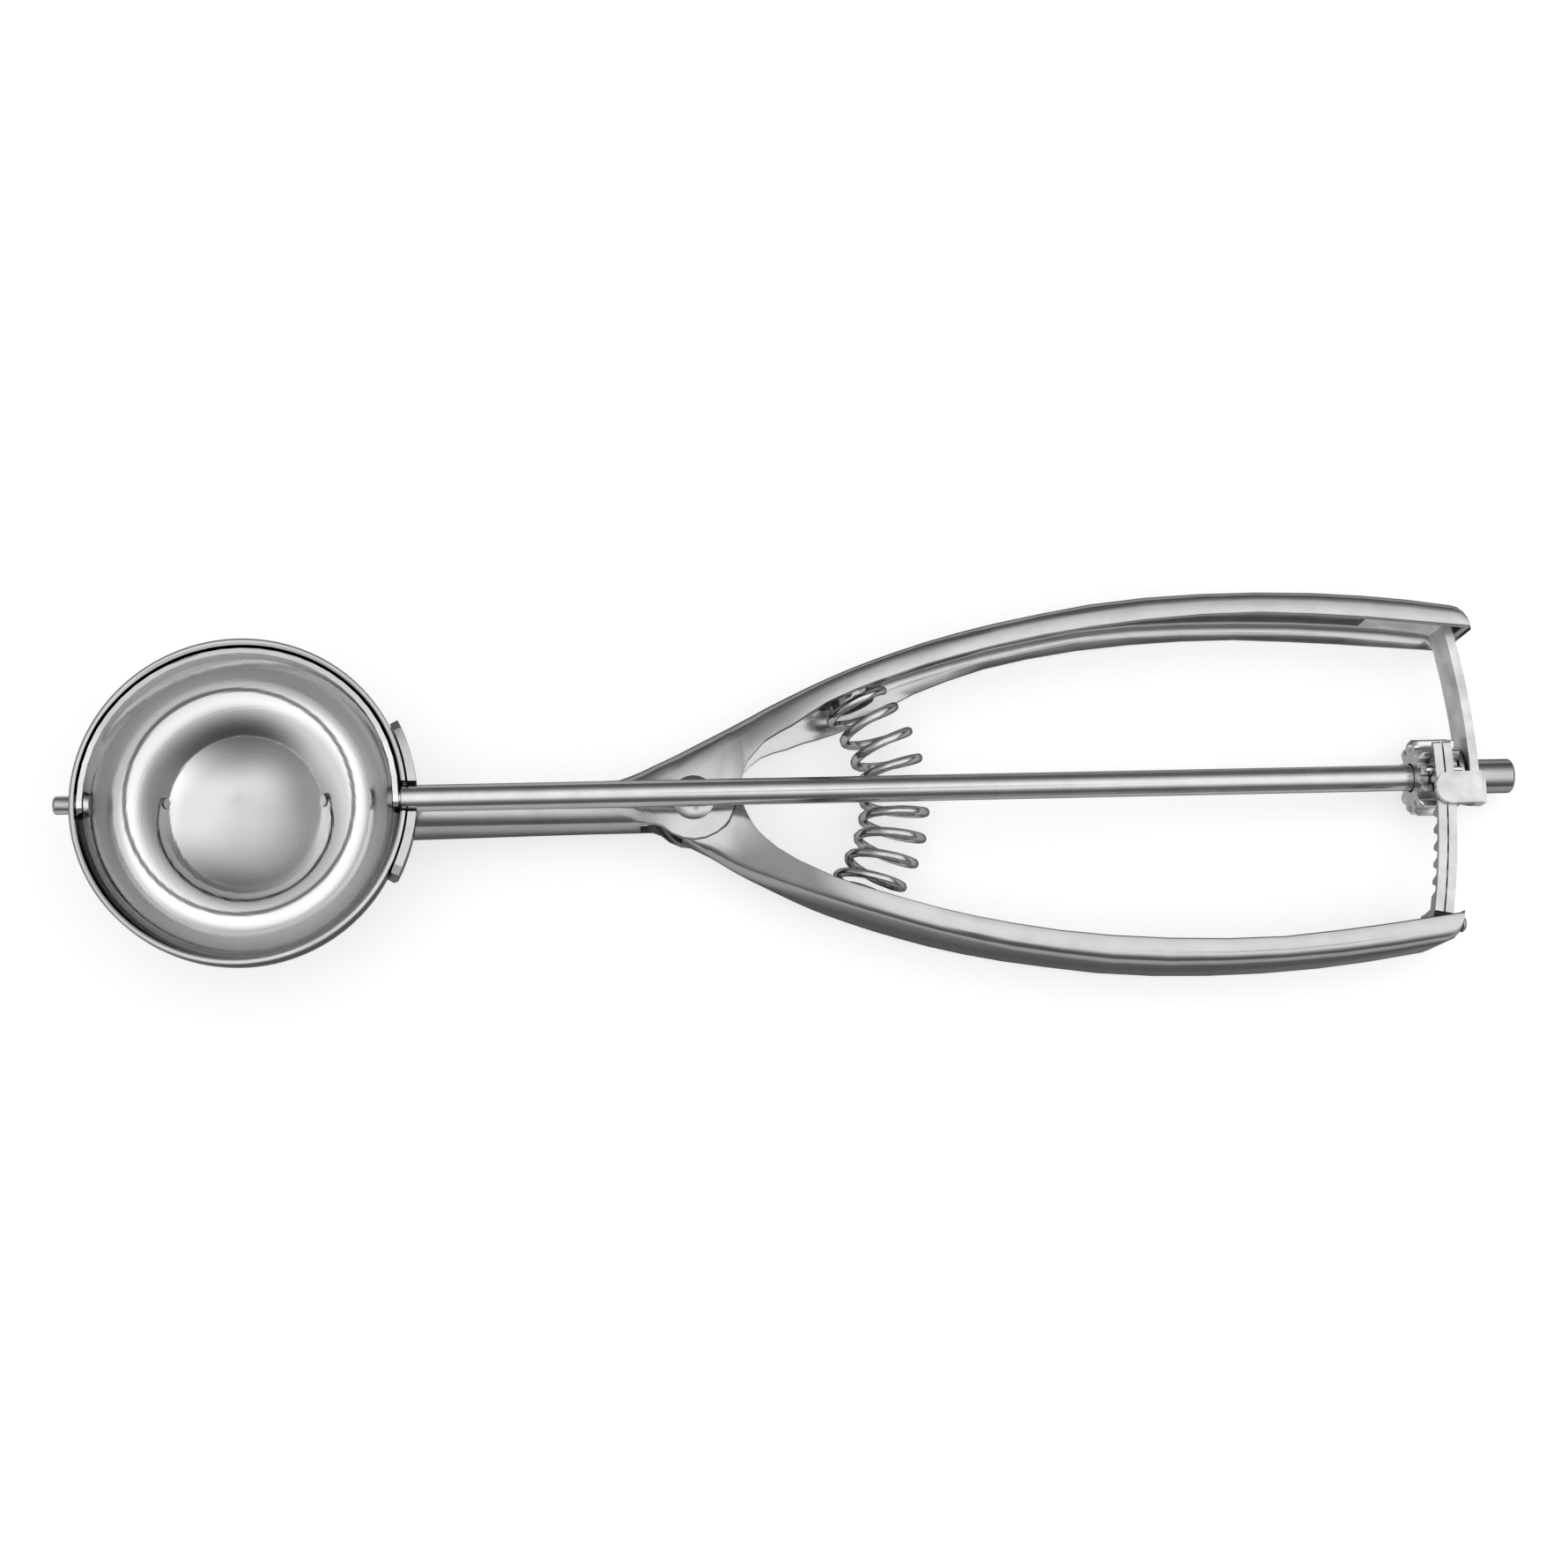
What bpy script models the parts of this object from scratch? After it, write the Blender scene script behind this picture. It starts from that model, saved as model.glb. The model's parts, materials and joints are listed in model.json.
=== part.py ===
"""Ice cream scoop with a squeeze handle, modelled piece by piece at its real size.

The design frame has its origin at the centre of the bowl's ball shape. X runs along the shaft to the
rear, Y points to the fixed handle and Z out of the bowl's mouth. At the end the whole scoop is tilted
into the pose in which it lies on a table, with the middle of its box at x = y = 0 and its lowest point
at z = 0.
"""

import math

import bmesh
import bpy
from mathutils import Matrix, Vector

MM = 0.001

# General
SHEET = 1.2 * MM                # stamped handles
SEAT_GAP = 0.3 * MM             # between two pieces that sit on each other
ROUND_SEGMENTS = 24             # facets round a turned piece

# Bowl and its saddle plate
BOWL_RADIUS = 28.8 * MM         # outside
BOWL_WALL = 0.95 * MM
LIP_HEIGHT = 2.5 * MM           # straight lip above the ball's centre
BOWL_SEGMENTS = 56
BOWL_RINGS = 11
SADDLE_THICKNESS = 1.5 * MM
SADDLE_ANGLE = math.radians(27)         # to each side of the shaft
SADDLE_DROP = math.radians(38)          # below the ball's centre
NOTCH_CLEARANCE = 0.35 * MM

# Shaft, collar and washer
ROD_RADIUS = 2.35 * MM
TIP_RADIUS = 1.5 * MM
PEEN_RADIUS = 2.3 * MM
PEEN_HEIGHT = 0.9 * MM
COLLAR_RADIUS = 3.1 * MM
COLLAR_LENGTH = 7.7 * MM
COLLAR_END = 1.1 * MM
WASHER_RADIUS = 5.0 * MM

# Scraper blade and its pin
BLADE_CLEARANCE = 0.35 * MM     # to the bowl's inside
BLADE_SHEET = 0.9 * MM
BLADE_HALF_WIDTH = 3.6 * MM
TAB_RADIUS = 2.6 * MM
BLADE_REST = math.radians(6)    # turned down from the plane of the shaft
PIN_RADIUS = 1.6 * MM
PIN_STICKS_OUT = 2.9 * MM

# Pivot
PIVOT_X = 79.0 * MM
RIVET_RADIUS = 2.6 * MM
RIVET_HEAD_RADIUS = 4.0 * MM
RIVET_HEAD_HEIGHT = 1.1 * MM
RIVET_BACK_HEIGHT = 1.6 * MM
EAR_RADIUS = 7.5 * MM

# Handles, drawn in millimetres from the pivot towards the rear. The lever is the fixed handle turned
# over, apart from its cheeks, which fit between the ears.
GRIP_LENGTH = 139.7 * MM        # from the pivot to the fixed handle's end
GRIP_START = 11.0 * MM          # where the ears have run out and the grip's own shape begins
GRIP_STRETCH = (GRIP_LENGTH - GRIP_START) / (139.7 * MM - GRIP_START)   # against the curves below
CORNER = 3.6 * MM               # outside rounding along the grip
NOSE_LENGTH = 3.0 * MM
NOSE_DROP = 4.6 * MM
SHANK_HALF_WIDTH = 4.5 * MM
SHANK_FRONT = -6.2              # height of the shank's rounded front
SHANK_START = (BOWL_RADIUS - PIVOT_X) / MM - 0.8
BACK_PLATE_START = -8.0 * MM
CHEEKS_END = 9.0 * MM
CHEEKS_FLUSH = 25.0 * MM
GRIP_OUTSIDE = ((-13, 4.6), (-10.4, 5.4), (-4.1, 7.9), (2.2, 11.0), (8.6, 14.1), (21.3, 19.4),
                (34.2, 24.1), (47, 27.9), (60, 30.7), (79, 33.3), (92, 33.7), (105, 33.5),
                (117.5, 32.6), (130, 31.1), (141, 29.2))
GRIP_EDGE = ((9.9, 6.4), (13.3, 9.9), (18, 12.2), (24.3, 15.8), (34, 19.4), (47, 23.3), (66, 27.1),
             (82, 28.8), (98, 29.4), (114, 28.4), (130, 26.6), (141, 25.3))
GRIP_FRONT = ((-13, SHANK_FRONT), (-9, -5.0), (-5, -4.1), (-1, -4.0), (6, -4.0), (11, -2.6), (16, -1.0),
              (22, 0.8), (32, 2.4), (42, 2.9), (55, 3.4), (71, 4.6), (86, 6.1), (101, 7.4),
              (116, 8.7), (129, 9.6), (141, 10.0))
GRIP_BACK = ((SHANK_START, -15.4), (-13, -13.6), (6, -13.9), (14, -14.8), (22, -15.4), (32, -15.6),
             (42, -15.2), (52, -14.2), (62, -13.0), (75, -12.0), (90, -11.7), (102, -11.3),
             (114, -10.3), (125, -9.0), (134, -7.7), (141, -7.0))
SPRING_LOBE = ((10, 0), (20, 1.8), (26, 3.3), (33, 3.2), (38, 1.6), (44, 0.8), (54, 0))
EAR_TO_GRIP = ((6.2, -4.2), (7.2, -2.0), (8.0, 0.8), (8.9, 4.0), (9.9, 6.4))
LEVER_OUTSIDE = ((-3, 6.4), (0, 8.2), (2.2, 9.6), (5, 11.4), (8.5, 13.6), (14.7, 16.6), (21.3, 19.4))
LEVER_EDGE = ((5.0, -4.2), (7.2, -2.4), (8.5, 0.0), (9.5, 2.8), (11.2, 6.0), (13.0, 8.1), (14.7, 9.7),
              (18, 12.2))
LEVER_EYE_RADIUS = 6.5 * MM

# Rack and pinion
MODULE = 1.0 * MM
PINION_TEETH = 12
PINION_LENGTH = 7.4 * MM
PINION_CHAMFER = 0.8 * MM
PRESSURE_ANGLE = math.radians(20)
PINION_BACKLASH = 0.10 * MM
RACK_BACKLASH = 0.28 * MM
RACK_ADDENDUM = 0.7 * MM        # short, so that the teeth don't undercut the pinion
ROOT_CLEARANCE = 0.2 * MM
RACK_MIDDLE = GRIP_LENGTH - 6.6 * MM    # radius about the pivot
RACK_SHEET = 1.5 * MM
RACK_PLATE_GAP = 0.3 * MM
RACK_BACK_WIDTH = 1.0 * MM      # behind the tooth roots
RACK_TIP_Y = 4.9 * MM
RACK_TEETH = 8
RACK_FOOT = 7.5 * MM
RACK_RIVET_RADIUS = 0.9 * MM
RACK_RIVET_HEAD = 1.6 * MM
RACK_RIVET_HEAD_HEIGHT = 0.7 * MM

# Bearing strip
STRIP_SHEET = 1.6 * MM
STRIP_INNER = RACK_MIDDLE + RACK_PLATE_GAP / 2 + RACK_SHEET + 3.65 * MM     # radius about the pivot
STRIP_BACK = -1.2 * MM
STRIP_FRONT = 6.3 * MM
STRIP_EYE = 5.0 * MM
STRIP_FOOT = 12.0 * MM
TAB_TOP_Y = -1.0 * MM
TAB_BOTTOM_Y = -6.6 * MM
TAB_LENGTH = 9.3 * MM
TAB_SHEET = 1.2 * MM

# Return spring
SPRING_RADIUS = 7.05 * MM       # outside
SPRING_WIRE = 2.0 * MM
SPRING_TURNS = 9
SPRING_PLACE = 28 * MM          # from the pivot
SPRING_END_Z = -6.9 * MM
SPRING_BOW = 7.1 * MM           # to the rear
SPRING_END_GAP = 0.9 * MM       # between an end turn and the next
SPRING_CLEARANCE = 0.35 * MM    # to the rod
SPRING_POINTS = 10              # on each turn
SPRING_STUD_RADIUS = 4.2 * MM
SPRING_PLATE_RADIUS = 6.4 * MM
SPRING_SEAT_HEIGHT = 1.9 * MM
SPRING_STUD_HEIGHT = 4.2 * MM


# Scene

for old in list(bpy.data.objects):
    bpy.data.objects.remove(old, do_unlink=True)

parts = bpy.data.collections.new("ice_cream_scoop")
cutters = bpy.data.collections.new("cutters")
bpy.context.scene.collection.children.link(parts)
bpy.context.scene.collection.children.link(cutters)


def add_empty(name, location, parent=None):
    empty = bpy.data.objects.new(name, None)
    empty.location = location
    empty.empty_display_size = 10 * MM
    parts.objects.link(empty)
    empty.parent = parent
    return empty


scoop = add_empty("scoop", (0, 0, 0))
lever_axis = add_empty("lever_axis", (PIVOT_X, 0, 0), scoop)
shaft_axis = add_empty("shaft_axis", (0, 0, 0), scoop)


def steel(name, colour, roughness):
    """A polished or brushed stainless steel."""
    material = bpy.data.materials.new(name)
    material.use_nodes = True
    shader = material.node_tree.nodes["Principled BSDF"]
    shader.inputs["Base Color"].default_value = (*colour, 1)
    shader.inputs["Metallic"].default_value = 1.0
    shader.inputs["Roughness"].default_value = roughness
    return material


def finish(piece, colour=(0.78, 0.78, 0.79), roughness=0.2, parent=scoop, smooth=True):
    """Give a piece its material and its place in the tree, and keep its drawn position."""
    piece.data.materials.append(steel(piece.name + "_steel", colour, roughness))
    if smooth:
        piece.data.shade_smooth()
        piece.data.set_sharp_from_angle(angle=math.radians(35))
    piece.parent = parent
    if parent is lever_axis:
        piece.matrix_parent_inverse = Matrix.Translation((-PIVOT_X, 0, 0))
    return piece


# Shape helpers

def add_mesh(name, bm, collection=parts):
    bmesh.ops.recalc_face_normals(bm, faces=bm.faces)
    mesh = bpy.data.meshes.new(name)
    bm.to_mesh(mesh)
    bm.free()
    piece = bpy.data.objects.new(name, mesh)
    collection.objects.link(piece)
    return piece


def loft(name, rings, collection=parts):
    """A closed solid through rings of points, each with the same number of points."""
    bm = bmesh.new()
    loops = [[bm.verts.new(point) for point in ring] for ring in rings]
    for near, far in zip(loops, loops[1:]):
        for i in range(len(near)):
            j = (i + 1) % len(near)
            bm.faces.new((near[i], near[j], far[j], far[i]))
    bm.faces.new(loops[0])
    bm.faces.new(loops[-1])
    return add_mesh(name, bm, collection)


def turned(name, profile, at, axis, segments=ROUND_SEGMENTS, collection=parts):
    """A turned piece. The profile holds (radius, height) from the top down its outer side."""
    mesh = bpy.data.meshes.new(name)
    points = [(radius, 0, height) for radius, height in profile]
    mesh.from_pydata(points, [(i, i + 1) for i in range(len(points) - 1)], [])
    piece = bpy.data.objects.new(name, mesh)
    collection.objects.link(piece)
    piece.location = at
    piece.rotation_euler = Vector((0, 0, 1)).rotation_difference(Vector(axis)).to_euler()
    screw = piece.modifiers.new("turn", "SCREW")
    screw.steps = screw.render_steps = segments
    screw.use_merge_vertices = True
    screw.merge_threshold = 0.00001
    return piece


def cutting(piece):
    piece.hide_render = True
    piece.display_type = "WIRE"
    piece.parent = scoop
    return piece


def hole(name, at, axis, radius, length):
    """A round cutter whose middle lies at the given point."""
    profile = [(0, length / 2), (radius, length / 2), (radius, -length / 2), (0, -length / 2)]
    return cutting(turned(name, profile, at, axis, collection=cutters))


def boolean(piece, other, operation="DIFFERENCE"):
    modifier = piece.modifiers.new(other.name, "BOOLEAN")
    modifier.operation = operation
    modifier.solver = "EXACT"
    modifier.object = other
    return piece


def along(points, x):
    """The height in metres, at x metres, of a smooth curve through points in millimetres. Behind the
    ears the curves stretch with the grip."""
    x = (x - max(0.0, x - GRIP_START) * (1 - 1 / GRIP_STRETCH)) / MM
    if x <= points[0][0]:
        return points[0][1] * MM
    if x >= points[-1][0]:
        return points[-1][1] * MM
    steps = [(b[1] - a[1]) / (b[0] - a[0]) for a, b in zip(points, points[1:])]

    def slope(k):
        if k == 0 or k == len(steps):
            return steps[min(k, len(steps) - 1)]
        before, after = steps[k - 1], steps[k]
        return 0.0 if before * after <= 0 else 2 * before * after / (before + after)

    k = next(i for i in range(len(steps)) if x <= points[i + 1][0])
    (x0, y0), (x1, y1) = points[k], points[k + 1]
    width = x1 - x0
    t = (x - x0) / width
    value = (y0 * (1 + 2 * t) * (1 - t) ** 2 + slope(k) * width * t * (1 - t) ** 2
             + y1 * t * t * (3 - 2 * t) + slope(k + 1) * width * t * t * (t - 1))
    return value * MM


def stations(*drawn):
    """Places along the handles in metres, for places drawn in millimetres."""
    return [v * MM + max(0.0, v * MM - GRIP_START) * (GRIP_STRETCH - 1) for v in drawn]


def ease(x, start, end):
    """From 0 at start to 1 at end, level at both."""
    t = min(1.0, max(0.0, (x - start) / (end - start)))
    return t * t * (3 - 2 * t)


# Bowl and saddle

def bowl_profile(outer, inner, lip):
    """From the inside's lowest point over the rim and down the outside."""
    angles = [math.pi / 2 * i / BOWL_RINGS for i in range(BOWL_RINGS + 1)]
    inside = [(inner * math.sin(a), -inner * math.cos(a)) for a in angles]
    outside = [(outer * math.cos(a), -outer * math.sin(a)) for a in angles]
    return inside + [(inner, lip), (outer, lip)] + outside


def shaft_notch(name):
    """A round-bottomed slot, open towards the mouth, that lets the shaft through the wall."""
    radius = ROD_RADIUS + NOTCH_CLEARANCE
    start, end = BOWL_RADIUS - 4 * MM, BOWL_RADIUS + 4 * MM
    top = LIP_HEIGHT + 3 * MM
    outline = [(-radius, top)]
    outline += [(-radius * math.cos(math.pi * i / 12), -radius * math.sin(math.pi * i / 12))
                for i in range(13)]
    outline += [(radius, top)]
    rings = [[(x, y, z) for y, z in outline] for x in (start, end)]
    return cutting(loft(name, rings, cutters))


def make_bowl():
    inner = BOWL_RADIUS - BOWL_WALL
    bowl = turned("bowl", bowl_profile(BOWL_RADIUS, inner, LIP_HEIGHT), (0, 0, 0), (0, 0, 1),
                  BOWL_SEGMENTS)
    boolean(bowl, shaft_notch("bowl_notch"))
    boolean(bowl, hole("pin_hole", (-BOWL_RADIUS, 0, 0), (1, 0, 0), PIN_RADIUS + SEAT_GAP, 6 * MM))
    return finish(bowl, roughness=0.08)


def make_saddle():
    """A plate that follows the bowl's outside, notched for the shaft and rounded at its corners."""
    inner = BOWL_RADIUS + SEAT_GAP
    outer = inner + SADDLE_THICKNESS
    rings = []
    steps = 18
    for i in range(steps + 1):
        side = -1 + 2 * i / steps
        azimuth = side * SADDLE_ANGLE
        top = (LIP_HEIGHT - 0.4 * MM) * math.sqrt(1 - 0.8 * abs(side) ** 6)
        drop = SADDLE_DROP * math.sqrt(1 - 0.75 * abs(side) ** 4)
        falls = [drop * k / 7 for k in range(8)]
        section = [(outer, top)] + [(outer * math.cos(a), -outer * math.sin(a)) for a in falls]
        section += [(inner * math.cos(a), -inner * math.sin(a)) for a in reversed(falls)]
        section += [(inner, top)]
        rings.append([(r * math.cos(azimuth), r * math.sin(azimuth), z) for r, z in section])
    saddle = loft("bowl_saddle", rings)
    boolean(saddle, shaft_notch("saddle_notch"))
    return finish(saddle, roughness=0.18)


# Handles

def grip_outside(x, reach, inset=0.0):
    """The web's outer side, with the nose's rounding at its end, or a surface inset from it."""
    nose = reach - NOSE_LENGTH
    if x <= nose:
        return along(GRIP_OUTSIDE, x) - inset
    share = min(1.0, (x - nose) / (NOSE_LENGTH - inset))
    return along(GRIP_OUTSIDE, nose) - NOSE_DROP + (NOSE_DROP - inset) * math.sqrt(1 - share ** 2)


def nose_stations(reach, inset=0.0):
    nose = reach - NOSE_LENGTH
    return [nose + (NOSE_LENGTH - inset) * math.sin(math.radians(a)) for a in (0, 25, 45, 62, 76, 90)]


def section_ring(x, low_back, low_front, high, back, front, radii, side):
    """A rounded four-sided section across X. Radii: low back, low front, high front, high back."""
    corners = ((low_back, back, 1, 1), (low_front, front, 1, -1), (high, front, -1, -1),
               (high, back, -1, 1))
    room = 0.48 * min(high - max(low_back, low_front), front - back)
    starts = (180, 90, 0, -90)
    ring = []
    for (y, z, to_y, to_z), radius, start in zip(corners, radii, starts):
        r = max(0.02 * MM, min(radius, room))
        centre_y, centre_z = y + to_y * r, z + to_z * r
        turn = {180: (270, 180), 90: (180, 90), 0: (90, 0), -90: (0, -90)}[start]
        for i in range(5):
            angle = math.radians(turn[0] + (turn[1] - turn[0]) * i / 4)
            ring.append((PIVOT_X + x, side * (centre_y + r * math.cos(angle)),
                         centre_z + r * math.sin(angle)))
    return ring


def fixed_low(x):
    """The lower edge of the fixed stamping: shank, ear and grip, one after the other."""
    if x < -EAR_RADIUS:
        return -SHANK_HALF_WIDTH
    if x <= EAR_TO_GRIP[0][0] * MM:
        return min(-SHANK_HALF_WIDTH if x < 0 else 0.0, -math.sqrt(max(0.0, EAR_RADIUS ** 2 - x * x)))
    if x <= EAR_TO_GRIP[-1][0] * MM:
        return along(EAR_TO_GRIP, x)
    return along(GRIP_EDGE, x)


def fixed_high(x, inset=0.0):
    if x < GRIP_OUTSIDE[0][0] * MM:
        return SHANK_HALF_WIDTH - inset
    return grip_outside(x, GRIP_LENGTH, inset)


def shank_round(x):
    """Rounding of the front corners: a full round on the shank, the grip's corner from the ears on."""
    return SHANK_HALF_WIDTH + (CORNER - SHANK_HALF_WIDTH) * ease(x, -14 * MM, -6 * MM)


def make_fixed_handle():
    shank = [(-13 + (SHANK_START + 13) * k) * MM for k in (1, 0.72, 0.38, 0.13, 0)]
    shank += stations(-11, -9, -7, -5.5)
    ears = stations(-4, -2, 0, 2, 4, 5.5, 6.2, 6.7, 7.2, 7.6, 8.0, 8.4, 8.9, 9.4, 9.9, 11)
    grip = stations(13, 15.5, 18, 21, 24, 27, 30, 33, 37, 42, 48, 55, 63, 72, 82, 92, 102, 112, 121,
                    129)
    places = shank + ears + grip + nose_stations(GRIP_LENGTH)
    rings = []
    for x in places:
        low = min(fixed_low(x), fixed_high(x) - 0.5 * MM)
        low_back = low - along(SPRING_LOBE, x) if x > ears[-1] else low
        front_low = shank_round(x) * (1 - ease(x, -14 * MM, -7 * MM)) + 0.3 * MM
        rings.append(section_ring(x, low_back, low, fixed_high(x), along(GRIP_BACK, x),
                                  along(GRIP_FRONT, x),
                                  (0.3 * MM, front_low, shank_round(x),
                                   0.3 * MM + CORNER * ease(x, -12 * MM, -4 * MM)), 1))
    handle = loft("fixed_handle", rings)

    reach = [x for x in places if x > -9.5 * MM and x < GRIP_LENGTH - NOSE_LENGTH]
    reach = [reach[0] - 0.4 * MM] + reach + nose_stations(GRIP_LENGTH, SHEET)
    rings = [section_ring(x, -20 * MM, -20 * MM, fixed_high(x, SHEET), along(GRIP_BACK, x) + SHEET,
                          along(GRIP_FRONT, x) - SHEET,
                          (0.3 * MM, 0.3 * MM, shank_round(x) - SHEET, CORNER - SHEET), 1)
             for x in reach]
    boolean(handle, cutting(loft("grip_hollow", rings, cutters)))

    below = [x for x in shank if x < BACK_PLATE_START]
    below = [shank[0] - 4 * MM] + below + [BACK_PLATE_START]
    rings = [section_ring(x, SHEET - SHANK_HALF_WIDTH, SHEET - SHANK_HALF_WIDTH,
                          fixed_high(x, SHEET), -40 * MM, along(GRIP_FRONT, x) - SHEET,
                          (0.3 * MM, shank_round(x) - SHEET, shank_round(x) - SHEET, 0.3 * MM), 1)
             for x in below]
    boolean(handle, cutting(loft("shank_hollow", rings, cutters)))

    ball = bpy.data.meshes.new("bowl_room")
    bm = bmesh.new()
    bmesh.ops.create_uvsphere(bm, u_segments=48, v_segments=32,
                              radius=BOWL_RADIUS + SADDLE_THICKNESS + 2 * SEAT_GAP)
    bm.to_mesh(ball)
    bm.free()
    room = bpy.data.objects.new("bowl_room", ball)
    cutters.objects.link(room)
    boolean(handle, cutting(room))
    boolean(handle, hole("ear_holes", (PIVOT_X, 0, -8 * MM), (0, 0, 1), RIVET_RADIUS + SEAT_GAP,
                         30 * MM))
    return finish(handle)


def lever_high(x, inset=0.0):
    eye = math.sqrt(max(0.0, (LEVER_EYE_RADIUS - inset) ** 2 - x * x))
    if x < LEVER_OUTSIDE[0][0] * MM:
        return max(eye, 0.2 * MM)
    if x < LEVER_OUTSIDE[-1][0] * MM:
        return max(eye, along(LEVER_OUTSIDE, x) - inset)
    return grip_outside(x, lever_reach(), inset)


def lever_low(x):
    if x <= LEVER_EDGE[0][0] * MM:
        return min(-0.2 * MM, -math.sqrt(max(0.0, LEVER_EYE_RADIUS ** 2 - x * x)))
    if x <= LEVER_EDGE[-1][0] * MM:
        return along(LEVER_EDGE, x)
    return along(GRIP_EDGE, x)


def lever_heights(x):
    """Back and front of the lever: inside the ears at the pivot, flush with the fixed grip behind."""
    step = (SHEET + SEAT_GAP) * (1 - ease(x, CHEEKS_END, CHEEKS_FLUSH))
    return along(GRIP_BACK, x) + step, along(GRIP_FRONT, x) - step


def lever_reach():
    """The lever ends with its end wall just behind the rear rack plate."""
    rear = rack_radii("rack_rear")[1]
    edge = along(GRIP_EDGE, rear)
    return math.sqrt(rear ** 2 - edge ** 2) + SEAT_GAP + SHEET


def make_moving_handle():
    reach = lever_reach()
    eye = stations(-6.45, -6.2, -5.6, -4.6, -3, -1.5, 0, 1.5, 3, 4.2, 5.0, 6.2, 7.2, 8.0, 8.6, 9.1, 9.6,
                   10.0, 10.6, 11.3)
    grip = stations(12.5, 14.7, 18, 21.3, 24, 27, 30, 33, 37, 42, 48, 55, 63, 72, 82, 92, 102, 112, 121)
    places = eye + grip + nose_stations(reach)
    rings = []
    for x in places:
        back, front = lever_heights(x)
        low = min(lever_low(x), lever_high(x) - 0.5 * MM)
        low_back = low - along(SPRING_LOBE, x)
        corner = min(CORNER, 0.3 * MM + CORNER * ease(x, -4 * MM, 6 * MM))
        rings.append(section_ring(x, low_back, low, lever_high(x), back, front,
                                  (0.3 * MM, 0.3 * MM, corner, corner), -1))
    handle = loft("moving_handle", rings)

    inside = [-12 * MM] + [x for x in places if 0 <= x < reach - NOSE_LENGTH]
    inside += nose_stations(reach, SHEET)
    rings = []
    for x in inside:
        back, front = lever_heights(x)
        top = lever_high(x, SHEET) if x > 0 else lever_high(0, SHEET)
        corner = max(0.1 * MM, min(CORNER, 0.3 * MM + CORNER * ease(x, -4 * MM, 6 * MM)) - SHEET)
        rings.append(section_ring(x, -20 * MM, -20 * MM, top, back + SHEET, front - SHEET,
                                  (0.1 * MM, 0.1 * MM, corner, corner), -1))
    boolean(handle, cutting(loft("lever_hollow", rings, cutters)))
    boolean(handle, hole("cheek_holes", (PIVOT_X, 0, -8 * MM), (0, 0, 1), RIVET_RADIUS + SEAT_GAP,
                         30 * MM))
    for k, at in enumerate(rack_rivet_places()):
        boolean(handle, hole("end_wall_hole_%d" % k, at, (1, 0, 0), RACK_RIVET_RADIUS + SEAT_GAP,
                             8 * MM))
    return finish(handle, parent=lever_axis)


def make_pivot_rivet():
    """A shank through ears and cheeks with a low dome in front and a higher one behind."""
    front = along(GRIP_FRONT, 0.0) + SEAT_GAP
    back = along(GRIP_BACK, 0.0) - SEAT_GAP
    dome = [(RIVET_HEAD_RADIUS * math.sin(math.radians(a)), math.cos(math.radians(a)))
            for a in (0, 22, 44, 62, 78, 90)]
    profile = [(r, front + RIVET_HEAD_HEIGHT * h) for r, h in dome]
    profile += [(RIVET_RADIUS, front), (RIVET_RADIUS, back)]
    profile += [(r, back - RIVET_BACK_HEIGHT * h) for r, h in reversed(dome)]
    return finish(turned("pivot_rivet", profile, (PIVOT_X, 0, 0), (0, 0, 1)), roughness=0.12)


# Rack, pinion and bearing

def pitch_radius():
    return MODULE * PINION_TEETH / 2


def rack_radii(name):
    """Inner and outer radius about the pivot of the front or the rear rack plate."""
    if name == "rack_front":
        outer = RACK_MIDDLE - RACK_PLATE_GAP / 2
        return outer - RACK_SHEET, outer
    inner = RACK_MIDDLE + RACK_PLATE_GAP / 2
    return inner, inner + RACK_SHEET


def rack_front_z():
    return pitch_radius() + MODULE + ROOT_CLEARANCE + RACK_BACK_WIDTH


def rack_foot_y():
    """The rack plates stop just above the inside of the lever's web."""
    reach = lever_reach()
    return grip_outside(reach - SHEET - 0.6 * MM, reach, SHEET) - SEAT_GAP


def rack_rivet_places():
    """Middle points of the two rivets through end wall and rack plates."""
    y = -(along(GRIP_EDGE, RACK_MIDDLE) + 1.5 * MM)
    x = PIVOT_X + math.sqrt(RACK_MIDDLE ** 2 - y ** 2)
    top = rack_front_z() - 2.0 * MM
    return [(x, y, top), (x, y, top - 4.2 * MM)]


def bent_strip(name, path, thickness, collection=parts):
    """A strip bent about Z. The path holds x, y and the strip's lower and upper edge in z."""
    rings = []
    for i, (x, y, low, high) in enumerate(path):
        before, after = path[max(0, i - 1)], path[min(len(path) - 1, i + 1)]
        tangent = Vector((after[0] - before[0], after[1] - before[1]))
        normal = Vector((tangent.y, -tangent.x)).normalized() * thickness / 2
        rings.append([(x - normal.x, y - normal.y, low), (x + normal.x, y + normal.y, low),
                      (x + normal.x, y + normal.y, high), (x - normal.x, y - normal.y, high)])
    return loft(name, rings, collection)


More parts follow.
